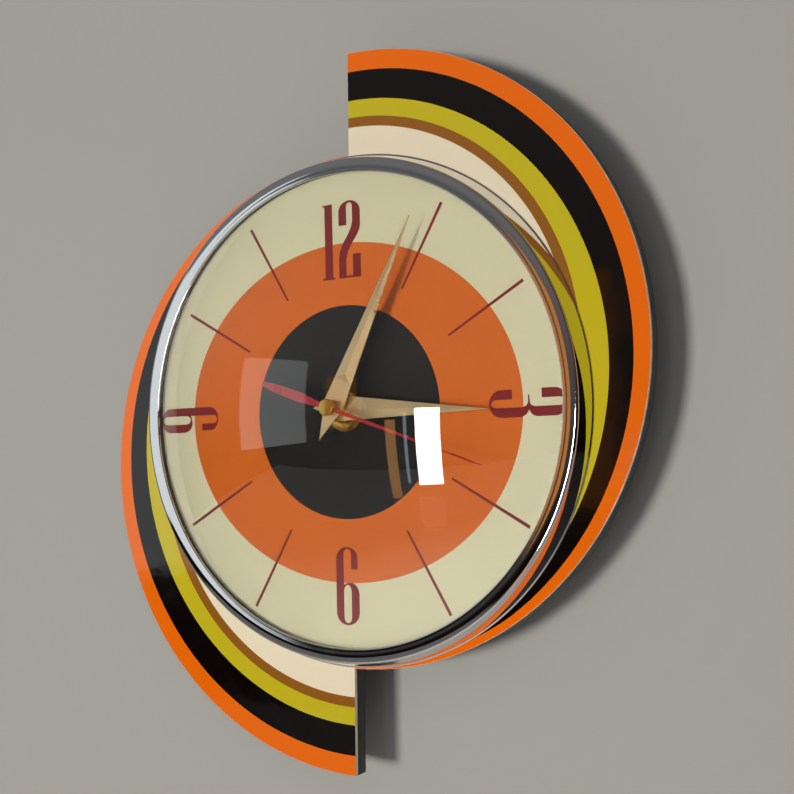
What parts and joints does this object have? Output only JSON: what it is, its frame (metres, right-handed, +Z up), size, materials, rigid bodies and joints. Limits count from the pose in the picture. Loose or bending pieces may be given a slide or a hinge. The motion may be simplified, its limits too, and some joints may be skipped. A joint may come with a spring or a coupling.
{
  "type": "wall clock",
  "caption": "Battery wall clock with a round dial under convex glass in a chrome bezel, on a striped board of two offset half-discs.",
  "frame": {"origin": "middle of the hanging hole, on the wall plane", "axes": "+X to the right as seen from the front, +Y into the wall, +Z up; the dial faces -Y"},
  "size_m": [0.2608, 0.0621, 0.305],
  "materials": {
    "black_painted_board": "semi-gloss black paint on MDF",
    "striped_laminate": "high-pressure laminate with printed stripes",
    "fibreboard": "raw hardboard",
    "dial_enamel": "printed satin enamel on aluminium",
    "black_rubber": "moulded",
    "clear_glass": "polished convex glass",
    "chrome": "polished chrome plate",
    "brass": "satin brass",
    "polished_brass": "polished brass",
    "red_lacquer": "red lacquer",
    "case_plastic": "moulded black ABS",
    "wheel_plastic": "moulded acetal",
    "steel": "bright steel",
    "zinc_steel": "zinc plated steel",
    "magnet": "sintered ferrite",
    "soft_iron": "stamped soft iron",
    "bobbin_plastic": "moulded nylon",
    "copper_wire": "enamelled copper wire",
    "circuit_laminate": "phenolic board",
    "epoxy_blob": "black epoxy",
    "battery_jacket": "printed shrink jacket",
    "nickel": "nickel plated steel",
    "knob_plastic": "moulded ABS"
  },
  "bodies": {
    "clock_frame": {"backing_board": "black_painted_board", "laminate_face": "striped_laminate", "dial_spacer": "fibreboard", "dial_disc": "dial_enamel", "glass_gasket": "black_rubber", "convex_glass": "clear_glass", "bezel": "chrome", "hanger_bracket": "zinc_steel", "hanger_screws": "zinc_steel", "rubber_washer": "black_rubber", "movement_front_case": "case_plastic", "movement_rear_cover": "case_plastic", "case_screws": "steel", "train_plate": "bobbin_plastic", "threaded_bushing": "brass", "brass_washer": "brass", "brass_nut": "brass", "stator": "soft_iron", "coil_core": "soft_iron", "coil_bobbin": "bobbin_plastic", "coil_winding": "copper_wire", "circuit_board": "circuit_laminate", "driver_chip": "epoxy_blob", "quartz_crystal": "nickel", "positive_contact": "nickel", "negative_contact": "nickel"},
    "seconds_train": {"seconds_arbor": "steel", "seconds_wheel": "wheel_plastic", "second_hand": "red_lacquer", "second_hand_socket": "brass", "second_hand_cap": "brass"},
    "minute_train": {"minute_wheel": "wheel_plastic", "minute_hand": "polished_brass"},
    "hour_train": {"hour_wheel": "wheel_plastic", "hour_hand": "polished_brass"},
    "third_wheel_set": {"third_wheel": "wheel_plastic"},
    "intermediate_wheel_set": {"intermediate_wheel": "wheel_plastic"},
    "rotor": {"rotor_pinion": "wheel_plastic", "rotor_magnet": "magnet"},
    "motion_wheel_set": {"motion_wheel": "wheel_plastic"},
    "setting_shaft": {"setting_stem": "wheel_plastic", "setting_knob": "knob_plastic"},
    "battery": {"battery_cell": "battery_jacket", "battery_terminal": "nickel"}
  },
  "joints": [
    {"name": "second_turn", "type": "hinge", "parent": "clock_frame", "child": "seconds_train", "pos_m": [0, -0.0302, -0.038], "axis": [0, 1, 0], "continuous": true},
    {"name": "minute_turn", "type": "hinge", "parent": "clock_frame", "child": "minute_train", "pos_m": [0, -0.0302, -0.038], "axis": [0, 1, 0], "continuous": true},
    {"name": "hour_turn", "type": "hinge", "parent": "clock_frame", "child": "hour_train", "pos_m": [0, -0.0302, -0.038], "axis": [0, 1, 0], "continuous": true},
    {"name": "third_turn", "type": "hinge", "parent": "clock_frame", "child": "third_wheel_set", "pos_m": [-0.00824, -0.01, -0.03324], "axis": [0, 1, 0], "continuous": true},
    {"name": "intermediate_turn", "type": "hinge", "parent": "clock_frame", "child": "intermediate_wheel_set", "pos_m": [0.00254, -0.01, -0.02853], "axis": [0, 1, 0], "continuous": true},
    {"name": "rotor_turn", "type": "hinge", "parent": "clock_frame", "child": "rotor", "pos_m": [-0.00619, -0.01, -0.02349], "axis": [0, 1, 0], "continuous": true},
    {"name": "motion_turn", "type": "hinge", "parent": "clock_frame", "child": "motion_wheel_set", "pos_m": [0.00846, -0.012, -0.03492], "axis": [0, 1, 0], "continuous": true},
    {"name": "setting_turn", "type": "hinge", "parent": "clock_frame", "child": "setting_shaft", "pos_m": [0.01424, -0.002, -0.02803], "axis": [0, 1, 0], "continuous": true},
    {"name": "battery_lift", "type": "slide", "parent": "clock_frame", "child": "battery", "axis": [0, 1, 0], "range_m": [0, 0.02]}
  ],
  "couplings": [
    {"joint": "minute_turn", "follows": "second_turn", "ratio": 0.016667},
    {"joint": "hour_turn", "follows": "second_turn", "ratio": 0.0013889},
    {"joint": "third_turn", "follows": "second_turn", "ratio": -0.13333},
    {"joint": "intermediate_turn", "follows": "second_turn", "ratio": -6},
    {"joint": "rotor_turn", "follows": "second_turn", "ratio": 30},
    {"joint": "motion_turn", "follows": "second_turn", "ratio": -0.0055556},
    {"joint": "setting_turn", "follows": "second_turn", "ratio": 0.016667}
  ]
}
